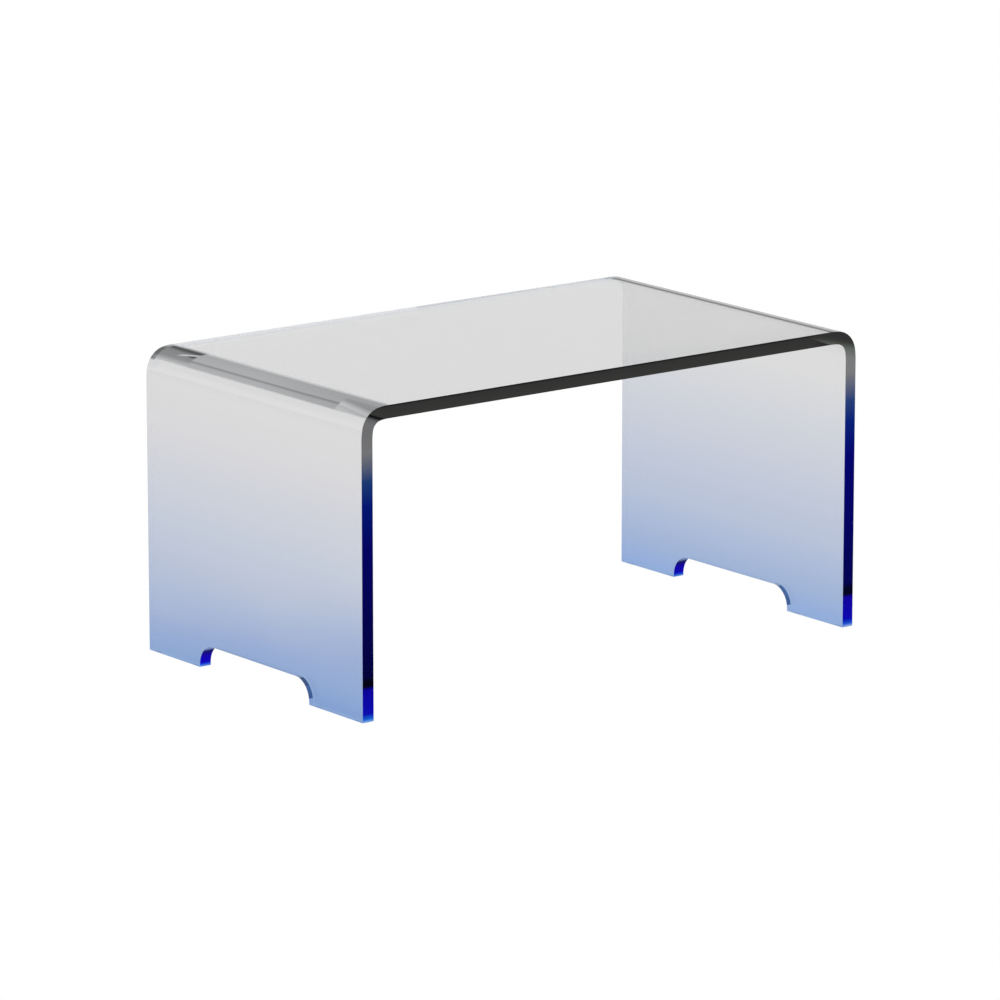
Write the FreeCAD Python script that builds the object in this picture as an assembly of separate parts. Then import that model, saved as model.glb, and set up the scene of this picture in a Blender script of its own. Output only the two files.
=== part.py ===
"""Waterfall coffee table: one hot-bent acrylic sheet standing on clear pads.

The sheet runs up the left leg, over the top and down the right leg without a joint.
Both bends are tight in the middle and ease out into the top and the leg.
Each leg has a low arch cut into its foot, which leaves a foot at the front and at the
back. Two clear bumper pads are stuck under each foot.

Millimetres. X runs along the table, Y across it from front to back, Z up.
The origin is on the floor, under the middle of the table.
"""

import FreeCAD, Part
import math
import os

# Driving dimensions
TABLE_LENGTH = 900.0
TABLE_WIDTH = 520.0
TABLE_HEIGHT = 450.0
SHEET_THICKNESS = 19.0

BEND_REACH = 46.5
INSIDE_BEND_RADIUS = 16.0
EASED_TURN = math.radians(10)

ARCH_WIDTH = 266.0
ARCH_HEIGHT = 35.5
ARCH_CORNER_RADIUS = 32.0

FOOT_CORNER_RADIUS = 1.0
ARRIS_WIDTH = 0.4

PAD_DIAMETER = 12.0
PAD_THICKNESS = 1.5
PAD_RIM_WIDTH = 0.5
PAD_END_DISTANCE = 16.0

# Worked out from the driving dimensions
HALF_LENGTH = TABLE_LENGTH / 2
HALF_WIDTH = TABLE_WIDTH / 2
SOLE_Z = PAD_THICKNESS
LEG_CENTRE_X = HALF_LENGTH - SHEET_THICKNESS / 2
ARCH_HALF_WIDTH = ARCH_WIDTH / 2
ARCH_ROOF_Z = SOLE_Z + ARCH_HEIGHT

# On the outer skin: the tight radius, and the easing radius that makes the bend end
# BEND_REACH from the corner where top and leg would meet
RIGHT_ANGLE = math.radians(90)
TIGHT_RADIUS = INSIDE_BEND_RADIUS + SHEET_THICKNESS
TIGHT_SHARE = math.cos(EASED_TURN) - math.sin(EASED_TURN)
EASED_SHARE = 1 - TIGHT_SHARE
EASED_RADIUS = (BEND_REACH - TIGHT_RADIUS * TIGHT_SHARE) / EASED_SHARE

CLEAR_OF_TABLE = 10.0
SHARP_TURN_DEGREES = 45.0
TOUCHING = 1e-3

X_AXIS = FreeCAD.Vector(1, 0, 0)
Y_AXIS = FreeCAD.Vector(0, 1, 0)
Z_AXIS = FreeCAD.Vector(0, 0, 1)


def quarter_arc(start, centre, end):
    """A quarter circle from start to end about centre, bulging away from centre."""
    radius = (start - centre).Length
    outward = (start + end) * 0.5 - centre
    middle = centre + outward.normalize() * radius
    return Part.Arc(start, middle, end).toShape()


def line(start, end):
    """A straight edge."""
    return Part.LineSegment(start, end).toShape()


def side_point(x, z):
    """A point on the front end of the sheet's side profile."""
    return FreeCAD.Vector(x, -HALF_WIDTH, z)


def bend_arc(side, centre, radius, start_turn, end_turn):
    """An arc of a bend about centre, where a turn of 0 faces up and 90 degrees outwards."""
    points = []
    for turn in (start_turn, (start_turn + end_turn) / 2, end_turn):
        outward = FreeCAD.Vector(side * math.sin(turn), 0, math.cos(turn))
        points.append(centre + outward * radius)
    return Part.Arc(*points).toShape()


def bend_edges(side, depth):
    """The easing, tight and easing arcs of one bend, that deep under its outer skin."""
    last_turn = RIGHT_ANGLE - EASED_TURN
    step = EASED_RADIUS - TIGHT_RADIUS
    near = step * math.sin(EASED_TURN)
    far = step * math.cos(EASED_TURN)
    under_top = side_point(side * (HALF_LENGTH - BEND_REACH), TABLE_HEIGHT - EASED_RADIUS)
    middle = under_top + FreeCAD.Vector(side * near, 0, far)
    beside_leg = middle - FreeCAD.Vector(side * far, 0, near)
    return [
        bend_arc(side, under_top, EASED_RADIUS - depth, 0, EASED_TURN),
        bend_arc(side, middle, TIGHT_RADIUS - depth, EASED_TURN, last_turn),
        bend_arc(side, beside_leg, EASED_RADIUS - depth, last_turn, RIGHT_ANGLE),
    ]


def skin_edges(depth):
    """Top, bends and legs in the side profile, that deep under the sheet's outer skin."""
    leg_x = HALF_LENGTH - depth
    top_z = TABLE_HEIGHT - depth
    bend_x = HALF_LENGTH - BEND_REACH
    bend_z = TABLE_HEIGHT - BEND_REACH
    edges = [line(side_point(-bend_x, top_z), side_point(bend_x, top_z))]
    for side in (-1, 1):
        edges += bend_edges(side, depth)
        edges.append(line(side_point(side * leg_x, bend_z), side_point(side * leg_x, SOLE_Z)))
    return edges


def bent_blank():
    """The sheet after bending, with square edges and no arches."""
    soles = []
    for side in (-1, 1):
        outside = side_point(side * HALF_LENGTH, SOLE_Z)
        inside = side_point(side * (HALF_LENGTH - SHEET_THICKNESS), SOLE_Z)
        soles.append(line(outside, inside))
    skins = skin_edges(0) + skin_edges(SHEET_THICKNESS)
    outline = Part.Wire(Part.__sortEdges__(skins + soles))
    return Part.Face(outline).extrude(Y_AXIS * TABLE_WIDTH)


def arch_cutter():
    """A bar of the arch's outline, long enough to cut both legs at once."""
    low_z = SOLE_Z - CLEAR_OF_TABLE
    shoulder_z = ARCH_ROOF_Z - ARCH_CORNER_RADIUS
    crown_y = ARCH_HALF_WIDTH - ARCH_CORNER_RADIUS
    start_x = -HALF_LENGTH - CLEAR_OF_TABLE

    def point(y, z):
        return FreeCAD.Vector(start_x, y, z)

    front_low = point(-ARCH_HALF_WIDTH, low_z)
    front_shoulder = point(-ARCH_HALF_WIDTH, shoulder_z)
    front_crown = point(-crown_y, ARCH_ROOF_Z)
    back_crown = point(crown_y, ARCH_ROOF_Z)
    back_shoulder = point(ARCH_HALF_WIDTH, shoulder_z)
    back_low = point(ARCH_HALF_WIDTH, low_z)
    outline = Part.Wire([
        line(front_low, front_shoulder),
        quarter_arc(front_shoulder, point(-crown_y, shoulder_z), front_crown),
        line(front_crown, back_crown),
        quarter_arc(back_crown, point(crown_y, shoulder_z), back_shoulder),
        line(back_shoulder, back_low),
        line(back_low, front_low),
    ])
    return Part.Face(outline).extrude(X_AXIS * (TABLE_LENGTH + 2 * CLEAR_OF_TABLE))


def is_foot_corner(edge):
    """True for an edge through the sheet's thickness at the end of a sole."""
    start, end = (vertex.Point for vertex in edge.Vertexes)
    runs_along_x = abs(start.y - end.y) < TOUCHING and abs(start.z - end.z) < TOUCHING
    return runs_along_x and abs(start.z - SOLE_Z) < TOUCHING


def is_rim(edge, shape):
    """True for a sharp edge, where a broad face of the sheet meets a cut one."""
    middle = edge.valueAt((edge.FirstParameter + edge.LastParameter) / 2)
    normals = []
    for face in shape.ancestorsOfType(edge, Part.Face):
        u, v = face.Surface.parameter(middle)
        normals.append(face.normalAt(u, v))
    turn = math.degrees(normals[0].getAngle(normals[1]))
    return turn > SHARP_TURN_DEGREES


def bent_sheet():
    """The whole sheet: bent, arched, with eased foot corners and polished arrises."""
    sheet = bent_blank().cut(arch_cutter()).Solids[0]
    foot_corners = [edge for edge in sheet.Edges if is_foot_corner(edge)]
    sheet = sheet.makeFillet(FOOT_CORNER_RADIUS, foot_corners)
    rims = [edge for edge in sheet.Edges if is_rim(edge, sheet)]
    return sheet.makeChamfer(ARRIS_WIDTH, rims).Solids[0]


def foot_pad(x, y):
    """A clear stick-on bumper: a disc with a bevelled rim where it meets the floor."""
    foot = FreeCAD.Vector(x, y, 0)
    disc = Part.makeCylinder(PAD_DIAMETER / 2, PAD_THICKNESS, foot, Z_AXIS)
    floor_rim = [edge for edge in disc.Edges if abs(edge.CenterOfMass.z) < TOUCHING]
    return disc.makeChamfer(PAD_RIM_WIDTH, floor_rim)


def foot_pads():
    """Two pads under each of the four feet, by node name."""
    pads = {}
    rows = {
        "outer": HALF_WIDTH - PAD_END_DISTANCE,
        "inner": ARCH_HALF_WIDTH + PAD_END_DISTANCE,
    }
    for leg, leg_side in (("left", -1), ("right", 1)):
        for foot, foot_side in (("front", -1), ("back", 1)):
            for row, distance in rows.items():
                pad = foot_pad(leg_side * LEG_CENTRE_X, foot_side * distance)
                pads[f"foot_pad_{leg}_{foot}_{row}"] = pad
    return pads


def main():
    os.makedirs("parts", exist_ok=True)
    pieces = {"bent_sheet": bent_sheet()}
    pieces.update(foot_pads())
    for name, shape in pieces.items():
        shape.exportStep(f"parts/{name}.step")
        print(name, "valid" if shape.isValid() else "NOT VALID", round(shape.Volume), "mm3")


main()
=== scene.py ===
"""Finish of a waterfall coffee table: one clear acrylic sheet, bent twice, on stick-on pads.

The sheet is cut flat, its edges are eased, and then it is bent, as a workshop makes it.
Its tint runs from smoke grey on the top to blue at the feet. A band of light round
each bend, and light and shade on the cut edges, are painted into its colour.

Metres, in the table's own frame: X along it, Y from front to back, Z up from the floor.
"""

import math

import bmesh
import bpy
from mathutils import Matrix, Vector


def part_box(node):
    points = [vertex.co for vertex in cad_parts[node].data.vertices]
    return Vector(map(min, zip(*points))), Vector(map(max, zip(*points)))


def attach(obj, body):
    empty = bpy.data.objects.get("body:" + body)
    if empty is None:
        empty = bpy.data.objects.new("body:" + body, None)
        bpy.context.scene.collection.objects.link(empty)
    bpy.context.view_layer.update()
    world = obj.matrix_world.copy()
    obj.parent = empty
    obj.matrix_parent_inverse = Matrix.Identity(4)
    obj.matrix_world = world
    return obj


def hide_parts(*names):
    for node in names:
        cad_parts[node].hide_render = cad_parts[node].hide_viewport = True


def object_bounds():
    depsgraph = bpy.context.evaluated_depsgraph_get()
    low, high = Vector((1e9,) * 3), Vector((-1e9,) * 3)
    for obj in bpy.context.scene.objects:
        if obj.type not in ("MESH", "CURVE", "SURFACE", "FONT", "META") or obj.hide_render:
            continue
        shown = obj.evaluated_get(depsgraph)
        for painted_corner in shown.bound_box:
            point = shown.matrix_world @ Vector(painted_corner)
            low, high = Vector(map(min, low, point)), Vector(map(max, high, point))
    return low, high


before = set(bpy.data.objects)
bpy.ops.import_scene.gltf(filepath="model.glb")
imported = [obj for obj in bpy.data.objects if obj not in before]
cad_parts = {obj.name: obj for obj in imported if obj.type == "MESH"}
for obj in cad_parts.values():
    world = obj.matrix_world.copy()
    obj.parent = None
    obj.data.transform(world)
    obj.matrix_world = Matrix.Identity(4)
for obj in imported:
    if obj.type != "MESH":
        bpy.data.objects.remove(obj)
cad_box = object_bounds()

# The sheet. A bend is tight in the middle and eases out at both ends.
SHEET_THICKNESS = 0.019
BEND_REACH = 0.0465
TIGHT_RADIUS = 0.016 + SHEET_THICKNESS
EASED_TURN = math.radians(10)
EASED_STEPS = 14
TIGHT_STEPS = 40

# The arch in each leg, and the eased corners and edges
ARCH_WIDTH = 0.266
ARCH_HEIGHT = 0.0355
ARCH_CORNER_RADIUS = 0.032
ARCH_CORNER_STEPS = 32
FOOT_CORNER_RADIUS = 0.001
FOOT_CORNER_STEPS = 4
ARRIS_WIDTH = 0.0002
ARRIS_STEPS = 2

# Where a cut edge lets light from the floor in: the soles with their eased ends, and the
# rim of each arch on the leg's right-hand face
SOLE_BELOW = 0.0027
ARCH_RIM = 0.0035
FLOOR_LIGHT_TINT = (0.53, 0.65, 0.82, 1.0)

# A cut face nearer to the leg's middle than this, and lower than this, is the arch's
ARCH_CUT_HALF_WIDTH = ARCH_WIDTH / 2 + 0.001
ARCH_CUT_TOP = 0.040

# Acrylic
ACRYLIC_IOR = 1.49
DIMMING = 0.35
MOST_BOUNCES = 160

# The pads
RUBBER_IOR = 1.45

# Camera: a long lens, a little above the table and to the left of its front
CAMERA_AZIMUTH = math.radians(-37.783)
CAMERA_ELEVATION = math.radians(13.224)
CAMERA_DISTANCE = 9.5775
CAMERA_TARGET = Vector((-0.0055, 0.0013, 0.2092))
CAMERA_LENS = 236.45
SENSOR_WIDTH = 36.0

# The studio, as the sheet shows it
FLOOR_HALF_SIZE = 30.0
MIRRORED_FLOOR = 0.3
NEAR_WALL = (0.13, 0.24, 0.42, 1.0)
WHITE_ROOM = 0.9
LAMP_PLACE = (-1.2, -1.6, 3.0)
LAMP_SIZE = 2.5
LAMP_ENERGY = 40.0

# An edge that turns more than this is a rim, and a face whose normal is nearer to upright
# than this is a broad one
RIM_TURN = math.radians(80)
UPRIGHT = 0.999
TOUCHING = 1e-6


# Shader building


class Value:
    """A shader socket that takes part in arithmetic. Each operator adds a Math node.

    A comparison gives 1 where it holds and 0 elsewhere.
    """

    def __init__(self, shader, socket):
        self.shader = shader
        self.socket = socket

    def maths(self, operation, *numbers):
        return self.shader.node("ShaderNodeMath", {"operation": operation}, numbers)

    def __add__(self, other):
        return self.maths("ADD", self, other)

    def __radd__(self, other):
        return self.maths("ADD", other, self)

    def __sub__(self, other):
        return self.maths("SUBTRACT", self, other)

    def __rsub__(self, other):
        return self.maths("SUBTRACT", other, self)

    def __mul__(self, other):
        return self.maths("MULTIPLY", self, other)

    def __rmul__(self, other):
        return self.maths("MULTIPLY", other, self)

    def __gt__(self, other):
        return self.maths("GREATER_THAN", self, other)

    def __lt__(self, other):
        return self.maths("LESS_THAN", self, other)

    def size(self):
        return self.maths("ABSOLUTE", self)

    def or_more(self, other):
        return self.maths("MAXIMUM", self, other)

    def ramp(self, start, end, low=0.0, high=1.0):
        """Runs from low at start to high at end, and stays there beyond them."""
        sockets = {
            "Value": self,
            "From Min": start,
            "From Max": end,
            "To Min": low,
            "To Max": high,
        }
        return self.shader.node("ShaderNodeMapRange", {"clamp": True}, sockets)

    def fade(self, start, end):
        """Falls from 1 at start to 0 at end."""
        return self.ramp(start, end, 1.0, 0.0)


class Shader:
    """The node tree of one material or world, while it is being made."""

    def __init__(self, owner):
        owner.use_nodes = True
        self.tree = owner.node_tree
        self.tree.nodes.clear()

    def node(self, kind, settings=None, sockets=None, output=0):
        """Adds a node, with its settings first and then the values or links of its sockets."""
        node = self.tree.nodes.new(kind)
        for name, setting in (settings or {}).items():
            if name == "stops":
                set_stops(node.color_ramp, setting)
            else:
                setattr(node, name, setting)
        named = sockets.items() if isinstance(sockets, dict) else enumerate(sockets or ())
        for name, value in named:
            self.plug(node.inputs[name], value)
        return Value(self, node.outputs[output]) if node.outputs else None

    def plug(self, socket, value):
        if isinstance(value, Value):
            self.tree.links.new(value.socket, socket)
        else:
            socket.default_value = value

    def place(self):
        """Object coordinates, as three values."""
        place = self.node("ShaderNodeTexCoord", output="Object")
        split = self.node("ShaderNodeSeparateXYZ", None, [place])
        outputs = split.socket.node.outputs
        return [Value(self, outputs[axis]) for axis in "XYZ"]

    def colours(self, value, stops):
        """A colour that follows value through stops: pairs of a value and a colour."""
        start = stops[0][0]
        end = stops[-1][0]
        shares = [((place - start) / (end - start), colour) for place, colour in stops]
        return self.node("ShaderNodeValToRGB", {"stops": shares}, [value.ramp(start, end)])

    def mix_colours(self, factor, first, second):
        """The first colour where factor is 0, the second where it is 1."""
        sockets = {"Factor": factor, 6: first, 7: second}
        return self.node("ShaderNodeMix", {"data_type": "RGBA"}, sockets, output=2)

    def mix_shaders(self, factor, first, second):
        """The first shader where factor is 0, the second where it is 1."""
        return self.node("ShaderNodeMixShader", None, [factor, first, second])

    def noise(self, scale, detail=2.0, stretch=(1, 1, 1)):
        """Noise on Object coordinates, from 0 to 1, with scale spots to a metre."""
        place = self.node("ShaderNodeTexCoord", output="Object")
        place = self.node("ShaderNodeMapping", None, {"Vector": place, "Scale": stretch})
        sockets = {"Vector": place, "Scale": scale, "Detail": detail}
        return self.node("ShaderNodeTexNoise", None, sockets)

    def attribute(self, name):
        """A value that the mesh carries on its faces."""
        settings = {"attribute_type": "GEOMETRY", "attribute_name": name}
        return self.node("ShaderNodeAttribute", settings, output="Fac")

    def surface(self, shader):
        self.node("ShaderNodeOutputMaterial", None, {"Surface": shader})

    def outside(self):
        """1 where a face is seen from outside, 0 from inside."""
        return 1 - self.node("ShaderNodeNewGeometry", output="Backfacing")


def set_stops(ramp, stops):
    """Gives a colour ramp its stops: pairs of a place and a colour."""
    while len(ramp.elements) < len(stops):
        ramp.elements.new(1.0)
    for element, (place, colour) in zip(ramp.elements, stops):
        element.position = place
        element.color = colour


def linear(red, green, blue):
    """A colour of the usual 0 to 255 screen values as the renderer's linear one."""
    channels = []
    for value in (red, green, blue):
        share = value / 255
        channels.append(share / 12.92 if share <= 0.04045 else ((share + 0.055) / 1.055) ** 2.4)
    return (*channels, 1.0)


def grey(value):
    return (value, value, value, 1.0)


def grey_stops(*stops):
    """Stops of a colour ramp from pairs of a place and a grey of 0 to 255."""
    return [(place, linear(level, level, level)) for place, level in stops]


# Materials

HALF_LENGTH = cad_box[1].x
TABLE_TOP_Z = cad_box[1].z

# What one pass through the sheet lets through, by height above the floor
LEFT_LEG_TINTS = [
    (0.000, (0.215, 0.350, 0.675, 1.0)),
    (0.022, (0.259, 0.395, 0.687, 1.0)),
    (0.064, (0.336, 0.441, 0.693, 1.0)),
    (0.120, (0.474, 0.547, 0.718, 1.0)),
    (0.148, (0.524, 0.579, 0.724, 1.0)),
    (0.204, (0.583, 0.634, 0.739, 1.0)),
    (0.344, (0.731, 0.723, 0.744, 1.0)),
    (0.404, (0.746, 0.746, 0.746, 1.0)),
    (0.425, (0.705, 0.705, 0.705, 1.0)),
]
RIGHT_LEG_TINTS = [
    (0.000, (0.283, 0.423, 0.750, 1.0)),
    (0.036, (0.350, 0.465, 0.710, 1.0)),
    (0.120, (0.495, 0.561, 0.721, 1.0)),
    (0.372, (0.746, 0.746, 0.748, 1.0)),
    (0.404, (0.746, 0.746, 0.746, 1.0)),
    (0.425, (0.705, 0.705, 0.705, 1.0)),
]

# How much higher the left leg's fade stands at its front, and how much lower at its back
FRONT_RISE = 0.030
BACK_DIP = 0.024

# The right leg's painted paler patch of light ends at a line that sinks by this much towards
# the back
BEHIND_TOP_SLOPE = 0.2615
BEHIND_TOP_PAINTED_LIGHT = grey(0.825)

# What one pass lets through in the top, from its underside to its upper side, and the
# painted lighter strip of light along its back edge
TOP_TINTS = [
    (0.431, grey(0.640)),
    (0.450, grey(0.540)),
]
BACK_STRIP_PAINTED_LIGHT = grey(0.80)

# How a leg's cut edge looks from outside, by height above the floor: the deep tint of a long
# way through the sheet, with painted light and shade; a lit copy where x and y have the same
# sign and a shaded copy where they differ, painted floor light at the bottom, a painted dark
# band above the arch and painted grey light from the bend at the top
LIT_LEG_TINTS = [
    (0.0015, linear(140, 190, 240)),
    (0.0060, linear(20, 100, 215)),
    (0.0130, linear(10, 10, 180)),
    (0.0480, linear(10, 0, 155)),
    (0.0530, linear(0, 0, 20)),
    (0.0610, linear(0, 0, 20)),
    (0.0680, linear(0, 0, 60)),
    (0.2500, linear(0, 0, 95)),
    (0.3120, linear(0, 20, 110)),
    (0.3460, linear(25, 55, 110)),
    (0.3870, linear(115, 115, 115)),
    (0.4140, linear(110, 110, 110)),
]
SHADED_LEG_TINTS = [
    (0.0015, linear(165, 195, 240)),
    (0.0065, linear(25, 85, 215)),
    (0.0130, linear(10, 5, 185)),
    (0.0465, linear(15, 0, 160)),
    (0.0510, linear(0, 0, 35)),
    (0.0610, linear(0, 0, 35)),
    (0.0690, linear(0, 0, 85)),
    (0.2620, linear(0, 0, 110)),
    (0.3120, linear(5, 30, 120)),
    (0.3440, linear(40, 65, 120)),
    (0.3870, linear(125, 125, 125)),
]

# How the cut edge looks inside the arches, by height above the floor: deep blue, with painted
# floor light at the bottom and a painted pale reflection at the top
ARCH_TINTS_AND_LIGHT = [
    (0.0015, linear(130, 195, 255)),
    (0.0050, linear(35, 90, 250)),
    (0.0075, linear(20, 10, 220)),
    (0.0180, linear(25, 0, 210)),
    (0.0240, linear(15, 0, 145)),
    (0.0270, linear(40, 45, 130)),
    (0.0300, linear(155, 180, 240)),
    (0.0330, linear(190, 215, 255)),
]

# The top's cut edge, by depth below the table top: charcoal, with a thin painted dark
# reflection along its upper rim
TOP_EDGE_TINTS_AND_SHADE = [
    (0.0008, linear(24, 24, 24)),
    (0.0034, linear(50, 50, 49)),
    (0.0180, linear(55, 55, 53)),
]

# Painted light and shade across the line at which the top's charcoal gives way to a leg's
# grey
LIT_CORNER_LIGHT = [
    (-0.0030, linear(55, 55, 50)),
    (-0.0015, linear(20, 20, 20)),
    (0.0008, linear(15, 15, 15)),
    (0.0060, linear(100, 100, 100)),
    (0.0100, linear(105, 105, 105)),
]
SHADED_CORNER_LIGHT = [
    (-0.0090, linear(50, 50, 50)),
    (-0.0030, linear(60, 60, 55)),
    (0.0060, linear(100, 105, 100)),
    (0.0200, linear(125, 125, 125)),
]
# The thin tip of the painted reflection
SHADED_CORNER_TIP = linear(48, 38, 41)

# The slanted lines that those colours follow: how deep under the table top each one starts
# at the table's end, and how much it sinks or rises towards the middle
LIT_LINE_DEPTH = 0.00575
LIT_LINE_SINKS = 0.375
SHADED_LINE_DEPTH = 0.027
SHADED_LINE_RISES = 0.25
TIP_LINE_DEPTH = 0.0368
TIP_LINE_RISES = 0.37

# How far from the table's end the tip starts and the plain charcoal begins, and how deep
# under the table top the shaded corner gives way to the leg
TIP_START = 0.030
CHARCOAL_START = 0.060
SHADED_CORNER_DEPTH = 0.045

# Painted light and shade round a bend's outer skin, from the top (negative) to the leg
# (positive): greys that stand for the light that runs along inside the sheet and comes out at
# the bend
PAINTED_BAND_LIGHT = grey_stops(
    (-0.0480, 185),
    (-0.0400, 150),
    (-0.0130, 165),
    (-0.0095, 130),
    (-0.0045, 165),
    (0.0041, 170),
)
PAINTED_RIGHT_BAND_LIGHT = grey_stops(
    (-0.0500, 150),
    (-0.0485, 65),
    (-0.0455, 60),
    (-0.0380, 150),
    (-0.0285, 165),
    (-0.0093, 135),
    (0.0041, 180),
)
PAINTED_FRONT_BAND_LIGHT = grey_stops(
    (-0.0180, 145),
    (-0.0065, 195),
    (0.0015, 180),
    (0.0041, 190),
)
PAINTED_BACK_BAND_LIGHT = grey_stops(
    (-0.0480, 170),
    (-0.0410, 50),
    (-0.0385, 0),
    (-0.0340, 45),
    (-0.0255, 120),
    (-0.0070, 135),
    (0.0041, 180),
)
PAINTED_RIM_BAND_LIGHT = grey_stops(
    (-0.0424, 165),
    (-0.0250, 90),
    (-0.0065, 100),
    (0.0015, 135),
    (0.0055, 120),
    (0.0090, 155),
)

# Where the parts of a band meet along the bend, from the front (negative) to the back
FRONT_PART_END = -0.186
BACK_PART_START = (0.167, 0.173)
BACK_RIM_START = (0.247, 0.251)

# The front part's colours run slanted: they are shifted round the bend by this much for
# each metre from this place along it
FRONT_SLANT = 0.138
FRONT_SLANT_FROM = -0.230

# A painted glint in the back part of the left band: a slanted line of painted highlight, and a
# painted dark spot of shade beside it
GLINT_ALONG = 0.204
GLINT_ROUND_BEND = -0.0178
GLINT_SLANT = 0.357
PAINTED_GLINT = linear(188, 188, 188)
PAINTED_SPOT_SHADE = linear(70, 70, 70)


def painted_reflection_corner(shader, from_end, depth):
    """The edge round a bend with a painted reflection of its underside: a soft fade and a thin tip.
    """
    past_line = depth + SHADED_LINE_RISES * from_end - SHADED_LINE_DEPTH
    painted_fade = shader.colours(past_line, SHADED_CORNER_LIGHT)
    past_tip = depth + TIP_LINE_RISES * from_end - TIP_LINE_DEPTH
    tip = past_tip.ramp(-0.0005, 0.0005) * (from_end > TIP_START)
    charcoal = shader.colours(depth, TOP_EDGE_TINTS_AND_SHADE)
    tip_end = from_end.ramp(CHARCOAL_START, 0.085)
    tip_tint = shader.mix_colours(tip_end, SHADED_CORNER_TIP, charcoal)
    painted_fade = shader.mix_colours(tip, painted_fade, tip_tint)
    return shader.mix_colours(from_end.ramp(CHARCOAL_START, 0.095), painted_fade, charcoal)


def cut_edge_tint_and_light(shader):
    """The colour of the polished cut edges from outside: their deep tint, with light and shade
    painted in.
    """
    x, y, z = shader.place()
    from_end = HALF_LENGTH - x.size()
    depth = TABLE_TOP_Z - z

    past_line = depth - LIT_LINE_SINKS * from_end - LIT_LINE_DEPTH
    painted_corner = shader.colours(past_line, LIT_CORNER_LIGHT)
    lit_leg = shader.colours(z, LIT_LEG_TINTS)
    lit = shader.mix_colours(past_line > LIT_CORNER_LIGHT[-1][0], painted_corner, lit_leg)
    top = shader.colours(depth, TOP_EDGE_TINTS_AND_SHADE)
    lit = shader.mix_colours(past_line < LIT_CORNER_LIGHT[0][0], lit, top)

    shaded_leg = shader.colours(z, SHADED_LEG_TINTS)
    painted_corner = painted_reflection_corner(shader, from_end, depth)
    shaded = shader.mix_colours(depth > SHADED_CORNER_DEPTH, painted_corner, shaded_leg)
    # The painted lit copy where x and y have the same sign, the painted shaded copy where they
    # differ
    front_and_back = shader.mix_colours(x * y > 0, shaded, lit)

    arch = shader.colours(z, ARCH_TINTS_AND_LIGHT)
    return shader.mix_colours(y.size() < ARCH_CUT_HALF_WIDTH, front_and_back, arch)


def sheet_tint(shader):
    """The tint of the clear sheet.

    It goes by height up the legs. The left leg's fade dips towards the back, and the right
    leg has a painted paler patch of light where the top is seen in front of it. The flat of the
    top is darker, but for a painted lighter strip of light along its back edge.
    """
    x, y, z = shader.place()
    from_end = HALF_LENGTH - x.size()
    front_rise = y.ramp(-0.235, -0.050, FRONT_RISE, 0.0) * z.ramp(0.045, 0.110)
    front_rise = front_rise * z.fade(0.155, 0.200)
    back_dip = y.ramp(0.0, 0.235, 0.0, BACK_DIP) * z.fade(0.070, 0.130)
    left = shader.colours(z - front_rise + back_dip, LEFT_LEG_TINTS)
    right = shader.colours(z, RIGHT_LEG_TINTS)
    # A painted paler patch of light on the right leg
    paler_patch_light = (z + BEHIND_TOP_SLOPE * y).ramp(0.372, 0.384)
    paler_patch_light = paler_patch_light * z.ramp(0.300, 0.400, 0.25, 1.0)
    right = shader.mix_colours(paler_patch_light, right, BEHIND_TOP_PAINTED_LIGHT)
    legs = shader.mix_colours(x > 0, left, right)
    in_top = z.ramp(0.4295, 0.4308) * from_end.ramp(0.010, 0.016)
    top = shader.colours(z, TOP_TINTS)
    # A painted lighter strip of light along the top's back edge
    top = shader.mix_colours(y.ramp(0.236, 0.250), top, BACK_STRIP_PAINTED_LIGHT)
    return shader.mix_colours(in_top, legs, top)


def back_shift(round_bend, y):
    """How much later the left band's painted dark part starts next to the back rim.

    Past the middle of that part the shift turns round, so that it also ends sooner.
    """
    shift = round_bend.ramp(-0.0440, -0.0340, 0.0030, -0.0020) * y.ramp(0.215, 0.250)
    return shift * round_bend.fade(-0.0220, -0.0120)


def painted_left_back_light(shader, round_bend, y, shift):
    """The back of the left band: a painted dark stripe, and a painted glint with a dark spot."""
    painted_band = shader.colours(round_bend - shift, PAINTED_BACK_BAND_LIGHT)
    glint = round_bend - GLINT_ROUND_BEND - GLINT_SLANT * (y - GLINT_ALONG)
    # A painted dark spot of shade
    painted_dark_spot = glint.ramp(0.003, 0.004) * (round_bend < -0.0180) * y.fade(0.184, 0.190)
    painted_band = shader.mix_colours(painted_dark_spot, painted_band, PAINTED_SPOT_SHADE)
    # Where the painted glint shows
    lit = glint.size().fade(0.001, 0.004) * y.fade(0.200, 0.212)
    return shader.mix_colours(lit, painted_band, PAINTED_GLINT)


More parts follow.
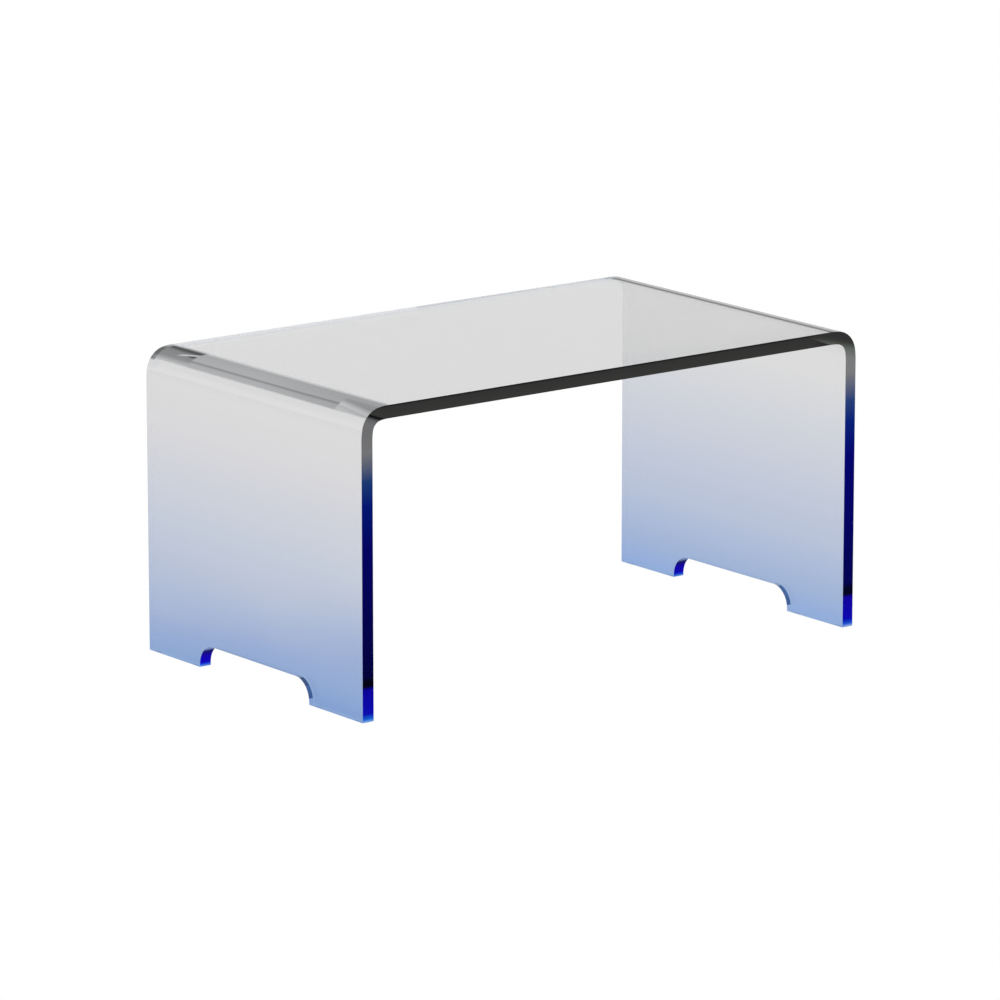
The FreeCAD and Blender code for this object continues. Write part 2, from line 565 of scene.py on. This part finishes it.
def painted_bend_light(shader):
    """The painted band of light and shade round a bend: its colour, and how much of it shows."""
    x, y, z = shader.place()
    round_bend = (TABLE_TOP_Z - z) - (HALF_LENGTH - x.size())

    painted_band = shader.colours(round_bend + y.ramp(-0.260, -0.100, 0.0015, 0.0), PAINTED_BAND_LIGHT)
    front = round_bend + FRONT_SLANT * (y - FRONT_SLANT_FROM)
    front = shader.colours(front, PAINTED_FRONT_BAND_LIGHT)
    in_front = (y < FRONT_PART_END) * (round_bend > -0.030)
    painted_band = shader.mix_colours(in_front, painted_band, front)
    # The painted light is darker towards the front
    nearer = y.ramp(-0.260, 0.0, 0.81, 1.0)
    painted_band = shader.node("ShaderNodeVectorMath", {"operation": "SCALE"}, {0: painted_band, "Scale": nearer})

    shift = back_shift(round_bend, y)
    back = painted_left_back_light(shader, round_bend, y, shift)
    painted_band = shader.mix_colours(y.ramp(*BACK_PART_START), painted_band, back)
    painted_band = shader.mix_colours(x > 0, painted_band, shader.colours(round_bend, PAINTED_RIGHT_BAND_LIGHT))

    rim = y.ramp(*BACK_RIM_START)
    painted_band = shader.mix_colours(rim, painted_band, shader.colours(round_bend, PAINTED_RIM_BAND_LIGHT))
    start = round_bend + (x > 0) * 0.0020 - (x < 0) * shift
    shows = start.ramp(-0.0525, -0.0475) * round_bend.fade(0.0040, 0.0075)
    rim_shows = rim * round_bend.ramp(-0.0460, -0.0380) * round_bend.fade(0.0080, 0.0110)
    return painted_band, shows.or_more(rim_shows)


def floor_light_share(shader, cut):
    """1 where light from the floor comes in through a cut edge, 0 where the edge mirrors."""
    x, y, z = shader.place()
    # The left leg's points are moved to the right leg, so that one rule fits both
    in_right_leg = x + (x < 0) * (2 * HALF_LENGTH - SHEET_THICKNESS)
    arch_rim = (in_right_leg > HALF_LENGTH - ARCH_RIM) * cut
    arch_rim = arch_rim * (y.size() < ARCH_CUT_HALF_WIDTH) * (z < ARCH_CUT_TOP)
    return (z < SOLE_BELOW).or_more(arch_rim)


def tinted_acrylic():
    """The whole sheet: clear, glossy, deep in colour on its cut edges, with painted light on its
    bends.
    """
    material = bpy.data.materials.new("tinted_acrylic")
    shader = Shader(material)
    outside = shader.outside()
    smears = shader.noise(9.0, 3.0).ramp(0.35, 0.75, 0.0, 0.02)
    clear = {
        "Base Color": sheet_tint(shader),
        "Roughness": smears * outside,
        "IOR": ACRYLIC_IOR,
        "Transmission Weight": 1.0,
    }
    cut = shader.attribute("cut_face")
    # The band of light round the bends is painted into the deep shader's colour
    painted_band, painted_band_shows = painted_bend_light(shader)
    deep = {
        "Base Color": shader.mix_colours(cut, painted_band, cut_edge_tint_and_light(shader)),
        "Roughness": shader.noise(60.0, 2.0, (1, 1, 6)).ramp(0.3, 0.8, 0.04, 0.12),
        "IOR": ACRYLIC_IOR,
        "Specular IOR Level": 0.04,
    }
    clear = shader.node("ShaderNodeBsdfPrincipled", None, clear)
    deep = shader.node("ShaderNodeBsdfPrincipled", None, deep)
    painted = cut + painted_band_shows * shader.attribute("outer_skin")
    surface = shader.mix_shaders(painted * outside, clear, deep)
    from_floor = floor_light_share(shader, cut) * (1 - outside)
    floor_light = shader.node("ShaderNodeBsdfTransparent", None, [FLOOR_LIGHT_TINT])
    surface = shader.mix_shaders(from_floor, surface, floor_light)
    dimming = {"Color": grey(0.0), "Density": DIMMING}
    volume = shader.node("ShaderNodeVolumeAbsorption", None, dimming)
    shader.node("ShaderNodeOutputMaterial", None, {"Surface": surface, "Volume": volume})
    return material


def clear_rubber():
    """The material of the pads: soft and clear, with the faintest cloud."""
    material = bpy.data.materials.new("clear_rubber")
    shader = Shader(material)
    cloud = shader.noise(400.0)
    tint = shader.mix_colours(cloud, (0.88, 0.90, 0.92, 1.0), (0.96, 0.97, 0.98, 1.0))
    sockets = {
        "Base Color": tint,
        "Roughness": cloud.ramp(0.2, 0.8, 0.06, 0.16),
        "IOR": RUBBER_IOR,
        "Transmission Weight": 0.97,
    }
    shader.surface(shader.node("ShaderNodeBsdfPrincipled", None, sockets))
    return material


# The sheet's shape


def flat_outline(half_length, half_width):
    """Corners of the flat blank, an arch's notch in each end: (along, across) points."""
    arch_half = ARCH_WIDTH / 2
    arch_roof = half_length - ARCH_HEIGHT
    right_end = [
        (half_length, -half_width),
        (half_length, -arch_half),
        (arch_roof, -arch_half),
        (arch_roof, arch_half),
        (half_length, arch_half),
        (half_length, half_width),
    ]
    left_end = [(-along, -across) for along, across in right_end]
    return right_end + left_end


def round_corners(bm, corners, radius, steps):
    """Rounds right-angled corners of a flat outline."""
    bmesh.ops.bevel(
        bm, geom=corners, affect="VERTICES", offset=radius, segments=steps, profile=0.5, material=-1
    )


class BendArc:
    """One arc of a bend, placed from the corner where the skins of top and leg would meet."""

    def __init__(self, centre, radius, turns, steps):
        self.centre = Vector(centre)
        self.radius = radius
        self.turns = turns
        self.steps = steps
        self.length = (radius - SHEET_THICKNESS / 2) * (turns[1] - turns[0])

    def place(self, share, depth):
        """The point that share of the way along the arc and that deep under the outer skin."""
        turn = self.turns[0] + share * (self.turns[1] - self.turns[0])
        outward = Vector((math.sin(turn), math.cos(turn)))
        return self.centre + outward * (self.radius - depth)


def bend_arcs():
    """The easing, tight and easing arcs of a bend, from the top down to the leg."""
    tight_share = math.cos(EASED_TURN) - math.sin(EASED_TURN)
    eased_radius = (BEND_REACH - TIGHT_RADIUS * tight_share) / (1 - tight_share)
    near = (eased_radius - TIGHT_RADIUS) * math.sin(EASED_TURN)
    far = (eased_radius - TIGHT_RADIUS) * math.cos(EASED_TURN)
    last_turn = math.pi / 2 - EASED_TURN
    first = Vector((-BEND_REACH, -eased_radius))
    middle = first + Vector((near, far))
    last = middle - Vector((far, near))
    return [
        BendArc(first, eased_radius, (0, EASED_TURN), EASED_STEPS),
        BendArc(middle, TIGHT_RADIUS, (EASED_TURN, last_turn), TIGHT_STEPS),
        BendArc(last, eased_radius, (last_turn, math.pi / 2), EASED_STEPS),
    ]


def bent_place(arcs, past_top, depth):
    """Where a point of the flat sheet goes, from the corner of the skins of top and leg."""
    if past_top <= 0:
        return Vector((past_top - BEND_REACH, -depth))
    for arc in arcs:
        if past_top < arc.length:
            return arc.place(past_top / arc.length, depth)
        past_top -= arc.length
    return Vector((-depth, -BEND_REACH - past_top))


def cut_across(bm, along):
    """Cuts the flat sheet across at that distance from its middle, at both ends."""
    for place in (-along, along):
        whole = bm.verts[:] + bm.edges[:] + bm.faces[:]
        bmesh.ops.bisect_plane(
            bm, geom=whole, dist=TOUCHING, plane_co=(place, 0, 0), plane_no=(1, 0, 0)
        )


def bent_sheet():
    """The whole sheet: cut flat, thickened, its rims eased, then bent down at both ends."""
    low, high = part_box("bent_sheet")
    arcs = bend_arcs()
    top_half = high.x - BEND_REACH
    leg_length = high.z - BEND_REACH - low.z
    half_length = top_half + sum(arc.length for arc in arcs) + leg_length

    bm = bmesh.new()
    outline = flat_outline(half_length, high.y)
    bm.faces.new([bm.verts.new((along, across, 0)) for along, across in outline])
    arch_roof = half_length - ARCH_HEIGHT
    crowns = [vert for vert in bm.verts if abs(abs(vert.co.x) - arch_roof) < TOUCHING]
    round_corners(bm, crowns, ARCH_CORNER_RADIUS, ARCH_CORNER_STEPS)
    feet = [vert for vert in bm.verts if abs(abs(vert.co.x) - half_length) < TOUCHING]
    round_corners(bm, feet, FOOT_CORNER_RADIUS, FOOT_CORNER_STEPS)

    along = top_half
    cut_across(bm, along)
    for arc in arcs:
        for _ in range(arc.steps):
            along += arc.length / arc.steps
            cut_across(bm, along)

    thickened = bmesh.ops.extrude_face_region(bm, geom=bm.faces[:])
    raised = [item for item in thickened["geom"] if isinstance(item, bmesh.types.BMVert)]
    bmesh.ops.translate(bm, verts=raised, vec=(0, 0, SHEET_THICKNESS))
    bmesh.ops.recalc_face_normals(bm, faces=bm.faces)

    rims = [edge for edge in bm.edges if edge.calc_face_angle(0) > RIM_TURN]
    bmesh.ops.bevel(
        bm,
        geom=rims,
        affect="EDGES",
        offset=ARRIS_WIDTH,
        segments=ARRIS_STEPS,
        profile=0.5,
        material=-1,
    )
    bm.normal_update()
    cut_face = bm.faces.layers.float.new("cut_face")
    outer_skin = bm.faces.layers.float.new("outer_skin")
    for face in bm.faces:
        face[cut_face] = 0.0 if abs(face.normal.z) > UPRIGHT else 1.0
        face[outer_skin] = 1.0 if face.normal.z > UPRIGHT else 0.0
        face.smooth = True

    for vert in bm.verts:
        side = math.copysign(1, vert.co.x)
        depth = SHEET_THICKNESS - vert.co.z
        place = bent_place(arcs, abs(vert.co.x) - top_half, depth)
        vert.co = (side * (high.x + place.x), vert.co.y, high.z + place.y)
    bmesh.ops.recalc_face_normals(bm, faces=bm.faces)

    mesh = bpy.data.meshes.new("bent_sheet_finished")
    bm.to_mesh(mesh)
    bm.free()
    sheet = bpy.data.objects.new("bent_sheet_finished", mesh)
    bpy.context.scene.collection.objects.link(sheet)
    mesh.materials.append(tinted_acrylic())
    evened = sheet.modifiers.new("even_shading", "WEIGHTED_NORMAL")
    evened.keep_sharp = True
    return sheet


# Floor, light and camera


def ray_kinds(shader):
    """Three values that are 1 for rays from the camera, mirrored rays and rays through glass."""
    path = shader.node("ShaderNodeLightPath").socket.node
    camera_ray = Value(shader, path.outputs["Is Camera Ray"])
    glossy = Value(shader, path.outputs["Is Glossy Ray"])
    through = Value(shader, path.outputs["Is Transmission Ray"])
    clear_faces = Value(shader, path.outputs["Transparent Depth"])
    return camera_ray, glossy, through.or_more(clear_faces > 0.5)


def studio_floor():
    """A pale floor that looks white from the camera and in the sheet."""
    bm = bmesh.new()
    bmesh.ops.create_grid(bm, x_segments=1, y_segments=1, size=FLOOR_HALF_SIZE)
    mesh = bpy.data.meshes.new("studio_floor")
    bm.to_mesh(mesh)
    bm.free()
    floor = bpy.data.objects.new("studio_floor", mesh)
    bpy.context.scene.collection.objects.link(floor)

    material = bpy.data.materials.new("white_floor")
    shader = Shader(material)
    camera_ray, glossy, through = ray_kinds(shader)
    mirrored = glossy * (1 - through)
    paint = shader.node("ShaderNodeBsdfDiffuse", None, {"Color": grey(0.8)})
    strength = mirrored.ramp(0, 1, 1.0, MIRRORED_FLOOR)
    glow = shader.node("ShaderNodeEmission", None, {"Color": grey(1.0), "Strength": strength})
    sharp = (camera_ray + glossy + through) > 0.5
    shader.surface(shader.mix_shaders(sharp, paint, glow))
    mesh.materials.append(material)


def studio_world():
    """White all round for the camera.

    The ceiling's shades also show mirrored in the sheet, the near wall only through it.
    """
    world = bpy.data.worlds.new("studio")
    bpy.context.scene.world = world
    shader = Shader(world)
    direction = shader.node("ShaderNodeTexCoord", output="Generated")
    split = shader.node("ShaderNodeSeparateXYZ", None, [direction]).socket.node
    # How far a ray points towards the back and up, as parts of 1
    across = Value(shader, split.outputs["Y"])
    up = Value(shader, split.outputs["Z"])
    ceiling = up.ramp(0.225, 0.290, 1.0, 0.75) * up.ramp(0.560, 0.720, 1.0, 0.40)
    near_wall = across.fade(-0.06, 0.0).or_more(up.ramp(0.560, 0.660))
    near_wall = near_wall * up.ramp(0.0, 0.01)
    wall_strength = up.ramp(0.45, 0.65, 1.0, 1.15)

    def background(colour, strength):
        return shader.node("ShaderNodeBackground", None, {"Color": colour, "Strength": strength})

    camera_ray, glossy, through = ray_kinds(shader)
    wall = background(NEAR_WALL, wall_strength)
    seen = shader.mix_shaders(near_wall * through, background(grey(1.0), ceiling), wall)
    lit = shader.mix_shaders((glossy + through) > 0.5, background(grey(1.0), WHITE_ROOM), seen)
    shown = shader.mix_shaders(camera_ray, lit, background(grey(1.0), 1.0))
    shader.node("ShaderNodeOutputWorld", None, {"Surface": shown})


def soft_lamp():
    """A large soft lamp over the table, for the faces that scatter light."""
    lamp = bpy.data.lights.new("soft_lamp", "AREA")
    lamp.shape = "DISK"
    lamp.size = LAMP_SIZE
    lamp.energy = LAMP_ENERGY
    stand = bpy.data.objects.new("soft_lamp", lamp)
    stand.location = LAMP_PLACE
    stand.rotation_euler = (-Vector(stand.location)).to_track_quat("-Z", "Y").to_euler()
    stand.visible_camera = False
    stand.visible_glossy = False
    stand.visible_transmission = False
    bpy.context.scene.collection.objects.link(stand)


def camera():
    """The camera, aimed at the middle of the table."""
    data = bpy.data.cameras.new("camera")
    data.lens = CAMERA_LENS
    data.sensor_width = SENSOR_WIDTH
    back = Vector((
        math.sin(CAMERA_AZIMUTH) * math.cos(CAMERA_ELEVATION),
        -math.cos(CAMERA_AZIMUTH) * math.cos(CAMERA_ELEVATION),
        math.sin(CAMERA_ELEVATION),
    ))
    stand = bpy.data.objects.new("camera", data)
    stand.location = CAMERA_TARGET + back * CAMERA_DISTANCE
    stand.rotation_euler = (-back).to_track_quat("-Z", "Y").to_euler()
    bpy.context.scene.collection.objects.link(stand)
    bpy.context.scene.camera = stand


# The table


def dress_table():
    """Puts the finished sheet in the place of its solid, and gives the pads their material."""
    sheet = bent_sheet()
    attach(sheet, "root")
    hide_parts("bent_sheet")
    rubber = clear_rubber()
    for name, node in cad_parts.items():
        if name.startswith("foot_pad"):
            node.data.materials.clear()
            node.data.materials.append(rubber)


def light_paths():
    """Lets light run along inside the sheet, where it is mirrored many times."""
    cycles = bpy.context.scene.cycles
    cycles.max_bounces = MOST_BOUNCES
    cycles.glossy_bounces = MOST_BOUNCES
    cycles.transmission_bounces = MOST_BOUNCES


bpy.context.scene.view_settings.view_transform = "Standard"
camera()
studio_floor()
studio_world()
soft_lamp()
light_paths()
dress_table()

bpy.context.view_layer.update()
